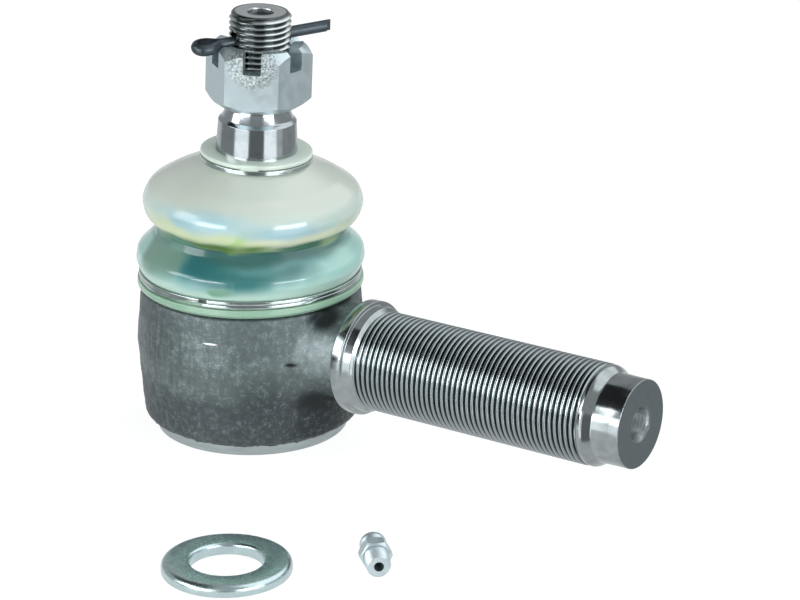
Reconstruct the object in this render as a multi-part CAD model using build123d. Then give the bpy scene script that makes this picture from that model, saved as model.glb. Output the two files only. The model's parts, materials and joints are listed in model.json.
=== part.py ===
from build123d import *
import math
import os

# Heavy tie rod end, in millimetres, +Z up. The origin is the centre of the ball.
# The housing stands along Z, the threaded shank runs along +X, and the stud leans a
# little towards the shank, as it does when nothing holds it.

os.makedirs("parts", exist_ok=True)

# --- Driving dimensions ---------------------------------------------------------
# Housing, a forging that is turned inside. Radii are about Z.
BASE_Z = -26.0  # bottom of the rolled lip, which the part stands on
LIP_R = 25.4  # outside of the rolled lip
LIP_TOP_Z = -23.4  # where the lip leaves the forged skin
LIP_HOLE_R = 20.8  # the lip's inner edge, rolled over the cover
LIP_EDGE = 0.5
LOWER_R = 28.5
LOWER_Z = -22.0
LOWER_EDGE = 1.2  # the forging's rounded lower edge
PARTING_R = 30.2  # widest, on the forging's parting line
PARTING_Z = -1.0
SHOULDER_R = 28.9
SHOULDER_Z = 13.0  # the boot's bead rests here
BOSS_R = 26.4  # the boot is clamped round this boss
BOSS_TOP_Z = 18.6
POCKET_R = 22.5  # holds the two seats
POCKET_TOP_Z = 11.5
COVER_POCKET_R = 23.6
COVER_POCKET_Z = -19.4

# Shank, along X. The neck flares into the housing.
NECK_ROOT_R = 18.8
NECK_FLARE_X = 25.0
NECK_FLARE_R = 16.6
NECK_X = 31.0
NECK_R = 13.4
NECK_CLEAR = 0.2  # the neck's top is cut off this far under the shoulder
COLLAR_X = 36.0
COLLAR_END_X = 38.8
COLLAR_R = 15.0
THREAD_X = 42.0
THREAD_END_X = 108.0
SHANK_R = 13.0  # M26 x 1.5
THREAD_DEPTH = 0.9
PILOT_X = 110.4
PILOT_R = 11.3
PILOT_EDGE = 0.4
SHANK_END_X = 118.6
END_HOLE_R = 4.5
END_HOLE_DEPTH = 14.0

# Ball stud, upright in its own frame before it leans
LEAN_DEG = 2.9
BALL_R = 17.5
BALL_FLAT_Z = -15.0
SHAFT_R = 8.5
TAPER_LOW_Z = 43.0
TAPER_TOP_Z = 58.5
TAPER_TOP_R = 10.15
TAPER_PER_MM = 1 / 16  # radius change of a 1:8 cone
NECK_STEP = 1.2  # a 45 degree step above the taper
NECK_Z = 61.8
STUD_THREAD_R = 8.0  # M16 x 1.5
STUD_TOP_Z = 87.3
STUD_CHAMFER = 0.55
STUD_RECESS_R = 3.3
STUD_RECESS_FLOOR_R = 1.0
STUD_RECESS_DEPTH = 1.6
SHAFT_TOP_Z = 38.0  # the shaft widens to the taper from here
PIN_HOLE_R = 2.35
PIN_HOLE_Z = 80.3
MAX_TILT_DEG = 26.0  # the mouth lets the stud lean this far from Z
MOUTH_GAP = 0.4

# Castle nut
NUT_FLATS = 24.0
NUT_Z = 62.9
NUT_TOP_Z = 79.2
NUT_BORE_R = 8.02
NUT_TOP_R = 11.2  # flat end faces, with a cone out to the corners
NUT_FOOT_R = 10.4
NUT_CROWN = 2.4  # height of each cone
SLOT_WIDTH = 4.7
SLOT_Z = 73.7
NUT_FACE_DEG = 57.5  # heading of one face, which carries a slot

# Split pin
PIN_R = 1.5
PIN_HEADING_DEG = 59.0
PIN_RISE_DEG = 5.0
PIN_ROLL_DEG = 4.0
PIN_TIP = 19.7
PIN_SHORT_BY = 1.5
PIN_EYE_START = -11.2
PIN_EYE_END = -17.9
PIN_EYE_HALF = 1.7
PIN_KNEE = 3.0  # length over which each leg bends out to the eye
PIN_BEND_R = 1.6
PIN_LEG_GAP = 0.04

# Seats, spring and cover
SEAT_GAP = 0.1
SEAT_R = 22.4
SEAT_BALL_R = 17.56
UPPER_SEAT_Z = 0.7
LOWER_SEAT_TOP_Z = -0.7
LOWER_SEAT_Z = -15.6
SEAT_GREASE_HOLE_R = 3.0
SEAT_EDGE = 1.0
SPRING_R = 17.0
SPRING_HOLE_R = 8.5
SPRING_THICKNESS = 1.6
SPRING_RISE = 2.0
COVER_R = 23.5
COVER_Z = -23.3
COVER_TOP_Z = -19.5
GREASE_HOLE_R = 2.5  # tapped M6 x 1

# Boot and its rings
BOOT_WALL = 1.9
BOOT_FOOT_Z = 13.3
BOOT_GAP = 0.2  # clear of the boss and of the stud's taper
BOOT_LEAN_Z = 18.0  # below this the boot stands straight
BOOT_LEAN_END_Z = 47.0  # above this it leans with the stud
LOW_RING_Z = 15.8
LOW_RING_TOP_Z = 17.9
LOW_RING_R = 29.3
LOW_RING_HOLE_R = 28.5
TOP_RING_Z = 47.7
TOP_RING_TOP_Z = 49.15
TOP_RING_R = 14.75
TOP_RING_HOLE_R = 13.75
BOOT_TOP_Z = 50.45
BOOT_LIP_HOLE_R = 11.2

# Loose pieces that come with it, lying on the same surface
WASHER_PLACE = (51.9, -79.9)
WASHER_R = 15.75
WASHER_HOLE_R = 8.8
WASHER_THICKNESS = 3.0
NIPPLE_PLACE = (80.0, -58.3)
NIPPLE_HEADING_DEG = -48.9  # from the head towards the threaded end
NIPPLE_FLATS = 7.0
NIPPLE_THREAD_R = 3.0  # M6 x 1
NIPPLE_BALL_R = 1.1
NIPPLE_BALL_X = -5.45


def turned(points):
    """A solid of revolution about Z from (radius, height) points."""
    outline = Polyline([(r, 0, z) for r, z in points], close=True)
    return revolve(make_face(outline), Axis.Z, 360)


def leaned(shape):
    """Leans a shape with the stud, about the ball's centre."""
    return shape.rotate(Axis.Y, LEAN_DEG)


def mouth_r(z):
    """Radius that clears the stud's shaft at its largest tilt."""
    tilt = math.radians(MAX_TILT_DEG)
    return z * math.tan(tilt) + SHAFT_R / math.cos(tilt) + MOUTH_GAP


def housing():
    outside = turned([
        (0, BASE_Z), (LIP_R - LIP_EDGE, BASE_Z), (LIP_R, BASE_Z + LIP_EDGE),
        (LIP_R, LIP_TOP_Z), (LOWER_R - LOWER_EDGE, LOWER_Z - LOWER_EDGE / 2),
        (LOWER_R, LOWER_Z + LOWER_EDGE / 2), (PARTING_R, PARTING_Z),
        (SHOULDER_R, SHOULDER_Z), (BOSS_R, SHOULDER_Z), (BOSS_R, BOSS_TOP_Z), (0, BOSS_TOP_Z),
    ])
    inside = turned([
        (0, 2 * BASE_Z), (LIP_HOLE_R, 2 * BASE_Z), (LIP_HOLE_R, COVER_Z - SEAT_GAP),
        (COVER_POCKET_R, COVER_Z - SEAT_GAP), (COVER_POCKET_R, COVER_POCKET_Z),
        (POCKET_R, COVER_POCKET_Z), (POCKET_R, POCKET_TOP_Z),
        (mouth_r(POCKET_TOP_Z), POCKET_TOP_Z), (mouth_r(2 * BOSS_TOP_Z), 2 * BOSS_TOP_Z),
        (0, 2 * BOSS_TOP_Z),
    ])
    root_r = SHANK_R - THREAD_DEPTH
    shank = turned_x([
        (0, 0), (0, NECK_ROOT_R), (NECK_FLARE_X, NECK_FLARE_R), (NECK_X, NECK_R),
        (COLLAR_X, NECK_R), (COLLAR_X, COLLAR_R), (COLLAR_END_X, COLLAR_R),
        (THREAD_X - THREAD_DEPTH, root_r), (THREAD_X, root_r),
        (THREAD_X + THREAD_DEPTH, SHANK_R), (THREAD_END_X, SHANK_R), (PILOT_X, PILOT_R),
        (SHANK_END_X - PILOT_EDGE, PILOT_R), (SHANK_END_X, PILOT_R - PILOT_EDGE),
        (SHANK_END_X, 0),
    ])
    keep_high = SHOULDER_Z - NECK_CLEAR
    keep_low = BASE_Z / 2 - NECK_ROOT_R / 2
    keep = Pos(SHANK_END_X / 2, 0, (keep_high + keep_low) / 2)
    keep *= Box(SHANK_END_X, 2 * PARTING_R, keep_high - keep_low)
    drill = Pos(SHANK_END_X - END_HOLE_DEPTH / 2, 0, 0)
    drill *= Rot(0, 90, 0) * Cylinder(END_HOLE_R, END_HOLE_DEPTH)
    return outside + (shank & keep) - inside - drill


def upper_seat():
    ring = turned([
        (0, UPPER_SEAT_Z), (SEAT_R, UPPER_SEAT_Z), (SEAT_R, POCKET_TOP_Z - SEAT_GAP),
        (0, POCKET_TOP_Z - SEAT_GAP),
    ])
    cone = turned([
        (0, 0), (mouth_r(0), 0), (mouth_r(POCKET_TOP_Z), POCKET_TOP_Z), (0, POCKET_TOP_Z),
    ])
    return ring - Sphere(SEAT_BALL_R) - cone


def lower_seat():
    cup = turned([
        (SEAT_GREASE_HOLE_R, LOWER_SEAT_Z), (SEAT_R - SEAT_EDGE, LOWER_SEAT_Z),
        (SEAT_R, LOWER_SEAT_Z + SEAT_EDGE), (SEAT_R, LOWER_SEAT_TOP_Z),
        (SEAT_GREASE_HOLE_R, LOWER_SEAT_TOP_Z),
    ])
    return cup - Sphere(SEAT_BALL_R)


def preload_spring():
    """A coned disc spring, wide side down on the cover."""
    low = COVER_TOP_Z + SEAT_GAP / 2
    return turned([
        (SPRING_R, low), (SPRING_R, low + SPRING_THICKNESS),
        (SPRING_HOLE_R, low + SPRING_THICKNESS + SPRING_RISE),
        (SPRING_HOLE_R, low + SPRING_RISE),
    ])


def cover_plate():
    return turned([
        (GREASE_HOLE_R, COVER_Z), (COVER_R, COVER_Z), (COVER_R, COVER_TOP_Z),
        (GREASE_HOLE_R, COVER_TOP_Z),
    ])


def ball_stud():
    low_r = TAPER_TOP_R + (TAPER_TOP_Z - TAPER_LOW_Z) * TAPER_PER_MM
    shaft = turned([
        (0, 0), (SHAFT_R, 0), (SHAFT_R, SHAFT_TOP_Z), (low_r, TAPER_LOW_Z),
        (TAPER_TOP_R, TAPER_TOP_Z), (TAPER_TOP_R - NECK_STEP, TAPER_TOP_Z + NECK_STEP),
        (STUD_THREAD_R, NECK_Z), (STUD_THREAD_R, STUD_TOP_Z - STUD_CHAMFER),
        (STUD_THREAD_R - STUD_CHAMFER, STUD_TOP_Z), (STUD_RECESS_R, STUD_TOP_Z),
        (STUD_RECESS_FLOOR_R, STUD_TOP_Z - STUD_RECESS_DEPTH),
        (0, STUD_TOP_Z - STUD_RECESS_DEPTH),
    ])
    above_flat = Pos(0, 0, BALL_FLAT_Z + BALL_R) * Box(3 * BALL_R, 3 * BALL_R, 2 * BALL_R)
    ball = Sphere(BALL_R) & above_flat
    hole = Rot(0, 90, 0) * Cylinder(PIN_HOLE_R, 3 * STUD_THREAD_R)
    hole = Pos(0, 0, PIN_HOLE_Z) * Rot(0, 0, PIN_HEADING_DEG) * hole
    return leaned(shaft + ball - hole)


def castle_nut():
    height = NUT_TOP_Z - NUT_Z
    corner_r = NUT_FLATS / math.sqrt(3)
    hexagon = Rot(0, 0, NUT_FACE_DEG + 30) * RegularPolygon(corner_r, 6)
    body = Pos(0, 0, NUT_Z) * extrude(hexagon, height)
    envelope = turned([
        (0, NUT_Z), (NUT_FOOT_R, NUT_Z), (corner_r, NUT_Z + NUT_CROWN),
        (corner_r, NUT_TOP_Z - NUT_CROWN), (NUT_TOP_R, NUT_TOP_Z), (0, NUT_TOP_Z),
    ])
    body = body & envelope
    body -= Pos(0, 0, (NUT_Z + NUT_TOP_Z) / 2) * Cylinder(NUT_BORE_R, height + 2)
    for face in range(3):
        slot = Pos(0, 0, SLOT_Z + height / 2) * Box(2 * NUT_FLATS, SLOT_WIDTH, height)
        body -= Rot(0, 0, NUT_FACE_DEG + 60 * face) * slot
    return leaned(body)


def cotter_pin():
    """One bent half-round wire: two legs side by side and an eye."""
    half = PIN_LEG_GAP / 2
    eye_start = PIN_EYE_START - PIN_KNEE
    eye_end = PIN_EYE_END + PIN_R / 2
    path = FilletPolyline(
        (PIN_TIP, half), (PIN_EYE_START, half), (eye_start, PIN_EYE_HALF),
        (eye_end, PIN_EYE_HALF), (eye_end, -PIN_EYE_HALF), (eye_start, -PIN_EYE_HALF),
        (PIN_EYE_START, -half), (PIN_TIP - PIN_SHORT_BY, -half),
        radius=PIN_BEND_R,
    )
    section = Plane(origin=(PIN_TIP, half, 0), x_dir=(0, 0, 1), z_dir=(-1, 0, 0))
    disc = section * Circle(PIN_R)
    outer_half = Pos(PIN_TIP, half + PIN_R, 0) * Box(1, 2 * PIN_R, 4 * PIN_R)
    wire = sweep(disc & outer_half, path)
    wire = wire.rotate(Axis.X, PIN_ROLL_DEG)
    wire = wire.rotate(Axis.Y, -PIN_RISE_DEG)
    wire = Pos(0, 0, PIN_HOLE_Z) * Rot(0, 0, PIN_HEADING_DEG) * wire
    return leaned(wire)


def boot_circle(radius, z):
    """A cross-section of the boot, shifted and tilted towards the stud's lean."""
    share = (z - BOOT_LEAN_Z) / (BOOT_LEAN_END_Z - BOOT_LEAN_Z)
    share = min(max(share, 0.0), 1.0)
    tilt = LEAN_DEG * share
    return Pos(z * math.sin(math.radians(tilt)), 0, z) * Rot(0, tilt, 0) * Circle(radius)


def dust_boot():
    """Two bellows, a foot that is clamped round the boss, and a lip on the taper."""
    groove_r = LOW_RING_HOLE_R - 0.05
    top_groove_r = TOP_RING_HOLE_R - 0.05
    foot_hole_r = BOSS_R + BOOT_GAP
    outside = [
        (28.9, BOOT_FOOT_Z), (29.8, 14.2), (29.7, LOW_RING_Z - 0.15),
        (groove_r, LOW_RING_Z - 0.1), (groove_r, LOW_RING_TOP_Z + 0.1),
        (29.0, LOW_RING_TOP_Z + 0.3), (29.9, 20.6), (29.8, 22.6), (28.8, 24.4), (27.0, 26.1),
        (25.0, 28.4), (24.3, 29.5), (24.9, 30.6), (26.6, 32.0), (28.2, 34.5), (28.6, 37.0),
        (28.0, 39.1), (26.0, 41.2), (22.3, 43.5), (17.9, 45.6), (14.8, 46.9),
        (14.4, TOP_RING_Z - 0.15), (top_groove_r, TOP_RING_Z - 0.1),
        (top_groove_r, TOP_RING_TOP_Z + 0.1), (14.6, TOP_RING_TOP_Z + 0.2),
        (14.6, BOOT_TOP_Z - 0.4), (14.2, BOOT_TOP_Z),
    ]
    inside = [
        (foot_hole_r, BOOT_FOOT_Z), (foot_hole_r, 18.9), (28.0, 20.6), (27.6, 22.8),
        (25.7, 24.8), (23.2, 27.8), (22.4, 29.5), (23.0, 30.8), (25.0, 32.2), (26.3, 34.6),
        (26.7, 36.8), (26.0, 38.3), (24.4, 39.9), (21.0, 41.9), (17.0, 43.7), (13.5, 45.1),
        (BOOT_LIP_HOLE_R, 45.8), (BOOT_LIP_HOLE_R, BOOT_TOP_Z),
    ]
    skin = loft([boot_circle(r, z) for r, z in outside], ruled=True)
    hollow = loft([boot_circle(r, z) for r, z in inside], ruled=True)
    return skin - hollow


def ring(inner_r, outer_r, low, high):
    """A flat-sided ring with its outer edges broken."""
    edge = 0.25
    return turned([
        (inner_r, low), (outer_r - edge, low), (outer_r, low + edge),
        (outer_r, high - edge), (outer_r - edge, high), (inner_r, high),
    ])


def flat_washer():
    washer = ring(WASHER_HOLE_R, WASHER_R, BASE_Z, BASE_Z + WASHER_THICKNESS)
    return Pos(*WASHER_PLACE, 0) * washer


def lying(shape):
    """Lays a nipple piece, built along X, on one hexagon flat beside the joint."""
    return Pos(*NIPPLE_PLACE, BASE_Z + NIPPLE_FLATS / 2) * Rot(0, 0, NIPPLE_HEADING_DEG) * shape


def turned_x(points):
    """A solid of revolution about X from (place along X, radius) points."""
    outline = Polyline([(x, 0, r) for x, r in points], close=True)
    return revolve(make_face(outline), Axis.X, 360)


def nipple_body():
    outside = turned_x([
        (-7.7, 0), (-7.7, 1.9), (-7.2, 2.5), (-5.4, 3.25), (-4.4, 3.25), (-3.3, 2.45),
        (-1.0, 2.45), (2.3, 2.45), (2.9, NIPPLE_THREAD_R), (7.0, NIPPLE_THREAD_R), (7.6, 2.4),
        (7.6, 0),
    ])
    corner_r = NIPPLE_FLATS / math.sqrt(3)
    hexagon = Rot(0, 90, 0) * Rot(0, 0, 30) * extrude(RegularPolygon(corner_r, 6), 4.0)
    crown = turned_x([(-1.9, 0), (-1.9, 3.3), (-1.3, corner_r), (1.5, corner_r), (2.1, 3.3),
                      (2.1, 0)])
    inside = turned_x([
        (-8.0, 0), (-8.0, 1.0), (-7.2, 0.7), (-6.5, 0.7), (-5.9, 1.25), (0.6, 1.25), (0.6, 0.9),
        (3.0, 0.9), (3.2, 1.2), (8.0, 1.2), (8.0, 0),
    ])
    return lying(outside + (Pos(-1.9, 0, 0) * hexagon & crown) - inside)


def nipple_ball():
    return lying(Pos(NIPPLE_BALL_X, 0, 0) * Sphere(NIPPLE_BALL_R))


def nipple_spring():
    """Drawn at its pressed length, so that the ball can travel."""
    wire_r = 0.13
    coil_r = 0.95
    height = 4.0
    path = Helix(pitch=0.8, height=height, radius=coil_r)
    coil = sweep(Plane(path @ 0, z_dir=path % 0) * Circle(wire_r), path, is_frenet=True)
    return lying(Pos(0.4 - height, 0, 0) * Rot(0, 90, 0) * coil)


MAKERS = {
    "housing": housing,
    "upper_seat": upper_seat,
    "lower_seat": lower_seat,
    "preload_spring": preload_spring,
    "cover_plate": cover_plate,
    "ball_stud": ball_stud,
    "dust_boot": dust_boot,
    "boot_bottom_ring": lambda: ring(LOW_RING_HOLE_R, LOW_RING_R, LOW_RING_Z, LOW_RING_TOP_Z),
    "boot_top_ring": lambda: leaned(ring(TOP_RING_HOLE_R, TOP_RING_R, TOP_RING_Z, TOP_RING_TOP_Z)),
    "castle_nut": castle_nut,
    "cotter_pin": cotter_pin,
    "flat_washer": flat_washer,
    "nipple_body": nipple_body,
    "nipple_ball": nipple_ball,
    "nipple_spring": nipple_spring,
}

for name, make in MAKERS.items():
    export_step(make(), f"parts/{name}.step")
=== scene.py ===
import json
import math

import bmesh
import bpy
from mathutils import Matrix, Vector, noise


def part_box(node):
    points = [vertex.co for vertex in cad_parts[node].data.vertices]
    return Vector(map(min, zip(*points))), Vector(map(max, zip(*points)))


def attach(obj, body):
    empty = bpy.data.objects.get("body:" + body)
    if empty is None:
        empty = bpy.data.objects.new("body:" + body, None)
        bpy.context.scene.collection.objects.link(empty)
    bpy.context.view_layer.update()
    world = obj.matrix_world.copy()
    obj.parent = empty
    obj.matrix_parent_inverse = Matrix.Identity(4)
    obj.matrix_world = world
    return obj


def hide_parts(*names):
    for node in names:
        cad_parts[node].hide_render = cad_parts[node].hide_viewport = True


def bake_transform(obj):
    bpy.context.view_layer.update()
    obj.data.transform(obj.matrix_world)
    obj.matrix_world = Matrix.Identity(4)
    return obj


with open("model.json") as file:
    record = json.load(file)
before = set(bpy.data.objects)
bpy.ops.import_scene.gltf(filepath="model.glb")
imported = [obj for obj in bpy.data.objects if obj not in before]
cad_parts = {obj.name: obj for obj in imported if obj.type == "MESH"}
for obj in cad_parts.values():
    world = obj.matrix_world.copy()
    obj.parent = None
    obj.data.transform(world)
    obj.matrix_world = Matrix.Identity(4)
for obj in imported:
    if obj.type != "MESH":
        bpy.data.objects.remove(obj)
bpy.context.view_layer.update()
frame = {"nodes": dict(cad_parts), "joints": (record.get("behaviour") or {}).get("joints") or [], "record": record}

MM = 0.001
CUT = 4  # pieces in a rounded corner

# --- Sizes read from the frame ---------------------------------------------------
MOUNTS = {m["name"]: m for m in frame["record"]["mounts"]}
JOINTS = {j["name"]: j for j in frame["joints"]}
STUD_AXIS = Vector(JOINTS["stud_spin"]["axis"])
LEAN = math.atan2(STUD_AXIS.x, STUD_AXIS.z)  # the stud leans towards the shank
UPRIGHT = Matrix.Rotation(-LEAN, 4, "Y")
LEANED = UPRIGHT.inverted()


def upright_span(node):
    """Lowest and highest point of a leaning node along the stud's axis."""
    heights = [(UPRIGHT @ v.co).z for v in frame["nodes"][node].data.vertices]
    return min(heights), max(heights)


HOUSING_LOW, HOUSING_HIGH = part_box("housing")
BASE_Z = HOUSING_LOW.z
SHANK_END = HOUSING_HIGH.x
SHANK_R = MOUNTS["shank_thread"]["dims"]["r_mm"] * MM
CENTRE_HOLE_R = MOUNTS["shank_centre_hole"]["dims"]["r_mm"] * MM
CENTRE_HOLE_DEPTH = MOUNTS["shank_centre_hole"]["dims"]["length_mm"] * MM
PORT_R = MOUNTS["grease_port"]["dims"]["r_mm"] * MM
STUD_TOP = upright_span("ball_stud")[1]
NUT_LOW, NUT_HIGH = upright_span("castle_nut")
BAND_LOW, BAND_HIGH = (corner.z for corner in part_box("boot_bottom_ring"))
BAND_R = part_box("boot_bottom_ring")[1].x
TAPER_TOP = Vector(MOUNTS["stud_taper"]["pos_m"]).length
WASHER_HOLE = MOUNTS["washer_hole"]

# --- Driving sizes, in millimetres ------------------------------------------------
SOCKET_BORE_R = 22.5
SOCKET_ROOF = 11.5  # top of the bore
NECK_R = 12.9
NECK_ROOT = 21.0
NECK_END = 36.6
NECK_TOP = 12.9  # the neck stays below the boot
PILOT_R = 11.3
PILOT_EDGE = 0.2
PITCH = 1.5  # of both large threads
SHANK_THREAD_LOW = 41.6
SHANK_THREAD_HIGH = 107.9
STUD_THREAD_R = 8.0
STUD_THREAD_LOW = 63.0
PIN_Z = 80.3
PIN_HEADING_DEG = 59.0
PIN_RISE_DEG = 5.0
PIN_ROLL_DEG = 10.0
NUT_FLATS = 24.0
NUT_CROWN = 2.4  # height of the cone at each end
NUT_FOOT_R = 10.4  # flat end faces, with a cone out to the corners
NUT_TOP_R = 11.2
NUT_FACE_DEG = 57.5  # heading of one face, which carries a slot
SLOT_WIDTH = 4.7
SLOT_FLOOR = 73.7
WAIST_Z = 29.5  # between the boot's two folds
LEAN_LOW = 18  # the boot takes up the stud's lean between these heights
LEAN_HIGH = 47
SEAM = math.radians(-60.6)  # heading of the mould's seam on the boot
SEAM_RISE = 0.10
SEAM_HALF_WIDTH = 0.5
NIPPLE_FLATS = 7.0
NIPPLE_BORE_R = 1.25
NIPPLE_HEAD_REACH = 5.45  # from the check ball's centre to the hexagon's


# --- Meshes ----------------------------------------------------------------------
def rounded(corners):
    """An outline from (a, b) or (a, b, radius) corners in millimetres, the last with an arc."""
    points = []
    count = len(corners)
    for i, corner in enumerate(corners):
        here = Vector(corner[:2])
        radius = corner[2] if len(corner) > 2 else 0
        if not radius:
            points.append(here)
            continue
        before = (Vector(corners[i - 1][:2]) - here).normalized()
        after = (Vector(corners[(i + 1) % count][:2]) - here).normalized()
        half = before.angle(after) / 2
        reach = radius / math.tan(half)
        centre = here + (before + after).normalized() * (radius / math.sin(half))
        first = here + before * reach - centre
        last = here + after * reach - centre
        turn = first.angle_signed(last)
        for step in range(CUT + 1):
            points.append(centre + Matrix.Rotation(-turn * step / CUT, 2) @ first)
    return [(p.x * MM, p.y * MM) for p in points]


def build(vertices, faces, merge=1e-7):
    """A mesh with its doubles merged and its faces pointing outwards."""
    bm = bmesh.new()
    made = [bm.verts.new(v) for v in vertices]
    for face in faces:
        if len(set(face)) > 2:
            bm.faces.new([made[i] for i in face])
    bmesh.ops.remove_doubles(bm, verts=bm.verts, dist=merge)
    bmesh.ops.dissolve_degenerate(bm, edges=bm.edges, dist=merge)
    bmesh.ops.recalc_face_normals(bm, faces=bm.faces)
    mesh = bpy.data.meshes.new("mesh")
    bm.to_mesh(mesh)
    bm.free()
    return mesh


def grid_faces(rows, across, close_rows=True):
    """Quads between rows of points that close on themselves across, and end to end."""
    faces = []
    for row in range(rows if close_rows else rows - 1):
        after = (row + 1) % rows
        for i in range(across):
            j = (i + 1) % across
            faces.append((row * across + i, row * across + j, after * across + j, after * across + i))
    return faces


def lathe(corners, around=128, axis="Z", shape=None):
    """A closed outline of (radius, height) corners in millimetres, turned about an axis."""
    vertices = []
    outline = rounded(corners)
    for radius, height in outline:
        for i in range(around):
            angle = math.tau * i / around
            place = Vector((radius * math.cos(angle), radius * math.sin(angle), height))
            if shape:
                place = shape(place)
            vertices.append(place if axis == "Z" else Vector((place.z, place.x, place.y)))
    return build(vertices, grid_faces(len(outline), around))


SHARP_THREAD = (0.0, 0.2, 0.5, 0.8, 1.0, 0.8, 0.5, 0.2)  # height over one pitch, from the root
FLAT_THREAD = (0.0, 0.15, 0.5, 0.88, 1.0, 1.0, 1.0, 0.88, 0.5, 0.15)


def thread(radius, pitch, low, high, ends, shape, depth, around=96, axis="Z"):
    """A closed bar with a helical thread from low to high, all in millimetres.

    ends holds the (radius, height) rings after the high end, down to the axis.
    Its rows follow the helix, so the crests stay sharp.
    """
    chamfer = radius - ends[0][0]
    turns = int((high - low) / pitch) + 3
    rows = []
    for row in range(turns * len(shape)):
        line = []
        for i in range(around + 1):
            z = low + (row / len(shape) + i / around - 1) * pitch
            z = min(max(z, low), high)
            r = radius - depth * (1 - shape[row % len(shape)])
            r = min(r, radius - chamfer + (high - z))
            if z in (low, high):
                r = ends[0][0] if z == high else radius - depth
            line.append((r, z, i / around))
        rows.append(line)
    across = around + 1
    vertices = []
    for line in rows:
        for r, z, share in line:
            vertices.append(Vector((r * math.cos(math.tau * share), r * math.sin(math.tau * share), z)))
    faces = []
    for row in range(len(rows) - 1):
        for i in range(around):
            a = row * across + i
            faces.append((a, a + 1, a + across + 1, a + across))
    for r, z, backwards in [(*ring, False) for ring in ends] + [(0, low, True)]:
        base = 0 if backwards else len(vertices) - across
        ring = len(vertices)
        for i in range(across):
            angle = math.tau * i / around
            vertices.append(Vector((r * math.cos(angle), r * math.sin(angle), z)))
        faces += [(base + i, base + i + 1, ring + i + 1, ring + i) for i in range(around)]
    vertices = [v * MM if axis == "Z" else Vector((v.z, v.x, v.y)) * MM for v in vertices]
    return build(vertices, faces, merge=2e-6)


def swept(path, section):
    """A section of (out, up) points carried along a path of (place, out, up) frames."""
    vertices = [p + out * a + up * b for p, out, up in path for a, b in section]
    faces = grid_faces(len(path), len(section), close_rows=False)
    faces += [tuple(range(len(section))), tuple(range(len(vertices) - len(section), len(vertices)))]
    return build(vertices, faces)


def holder(mesh, name="tool"):
    """An object in the scene that holds the mesh."""
    made = bpy.data.objects.new(name, mesh)
    bpy.context.scene.collection.objects.link(made)
    return made


def evaluated(mesh, *modifiers):
    """The mesh after modifiers, each given as (kind, settings)."""
    work = holder(mesh)
    for kind, settings in modifiers:
        modifier = work.modifiers.new(kind, kind)
        for key, value in settings.items():
            setattr(modifier, key, value)
    graph = bpy.context.evaluated_depsgraph_get()
    result = bpy.data.meshes.new_from_object(work.evaluated_get(graph))
    bpy.data.objects.remove(work)
    return result


def combine(mesh, *tools, how="DIFFERENCE"):
    """The mesh with tool meshes cut out of it, joined to it or kept in common."""
    for tool in tools:
        cutter = holder(tool)
        mesh = evaluated(mesh, ("BOOLEAN", {"operation": how, "solver": "EXACT", "object": cutter}))
        bpy.data.objects.remove(cutter)
    return mesh


def moved(mesh, matrix):
    """The same mesh after a move or a turn."""
    mesh.transform(matrix)
    return mesh


def finish_piece(name, mesh, body, material, nodes=(), sharp=35.0, blend=None):
    """Puts a mesh into the scene as a piece that rides on a body, or, when blend is given, as a loose piece with
    its place baked in.
    """
    mesh.name = name
    mesh.shade_smooth()
    mesh.set_sharp_from_angle(angle=math.radians(sharp))
    mesh.materials.clear()
    mesh.materials.append(material)
    made = holder(mesh, name)
    if blend:
        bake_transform(made)
    else:
        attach(made, body)
    if nodes:
        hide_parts(*nodes)
    return made


# --- Materials -------------------------------------------------------------------
def colour(code):
    """An sRGB hex code as a linear colour with alpha."""
    parts = [int(code[i:i + 2], 16) / 255 for i in (1, 3, 5)]
    linear = [c / 12.92 if c <= 0.04045 else ((c + 0.055) / 1.055) ** 2.4 for c in parts]
    return (*linear, 1.0)


def per_mm(size):
    """The texture scale whose features are about size millimetres across."""
    return 1 / (size * MM)


def add(tree, kind, inputs=None, stops=None, **settings):
    """Adds a node: sets its properties, then links or sets each input."""
    made = tree.nodes.new("ShaderNode" + kind)
    for key, value in settings.items():
        setattr(made, key, value)
    for key, value in (inputs or {}).items():
        if isinstance(value, bpy.types.NodeSocket):
            tree.links.new(value, made.inputs[key])
        else:
            made.inputs[key].default_value = value
    if stops:
        ramp = made.color_ramp
        while len(ramp.elements) < len(stops):
            ramp.elements.new(0.5)
        for element, (position, code) in zip(ramp.elements, stops):
            element.position = position
            element.color = colour(code)
    return made


def new_material(name, **surface):
    """A material with a Principled surface whose plain values are set on its sockets."""
    material = bpy.data.materials.new(name)
    material.use_nodes = True
    tree = material.node_tree
    tree.nodes.clear()
    shader = add(tree, "BsdfPrincipled", surface)
    add(tree, "OutputMaterial", {"Surface": shader.outputs["BSDF"]})
    return material, tree, shader


def set_bump(tree, shader, height, distance):
    """Lets a height socket shade the surface as if it rose by distance millimetres."""
    bump = add(tree, "Bump", {"Height": height, "Distance": distance * MM, "Strength": 1.0})
    tree.links.new(bump.outputs["Normal"], shader.inputs["Normal"])


def mixed(tree, share, first, second):
    """A colour between two, by a share socket. Each is a hex code or a socket."""
    sides = [colour(side) if isinstance(side, str) else side for side in (first, second)]
    made = add(tree, "Mix", {0: share, 6: sides[0], 7: sides[1]}, data_type="RGBA")
    return made.outputs[2]


def steel_patch(tree, place, centre, size, soft):
    """A soft-edged region, 1 in its middle, with centre and half sizes in millimetres."""
    away = add(tree, "VectorMath", {0: place, 1: Vector(centre) * MM}, operation="SUBTRACT")
    shares = [per_mm(half) for half in size]
    scaled = add(tree, "VectorMath", {0: away.outputs[0], 1: shares}, operation="MULTIPLY")
    reach = add(tree, "VectorMath", {0: scaled.outputs[0]}, operation="LENGTH")
    spot = add(tree, "MapRange", {"Value": reach.outputs["Value"], "From Min": 1.0, "From Max": soft},
               interpolation_type="SMOOTHSTEP")
    return spot.outputs[0]
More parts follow.
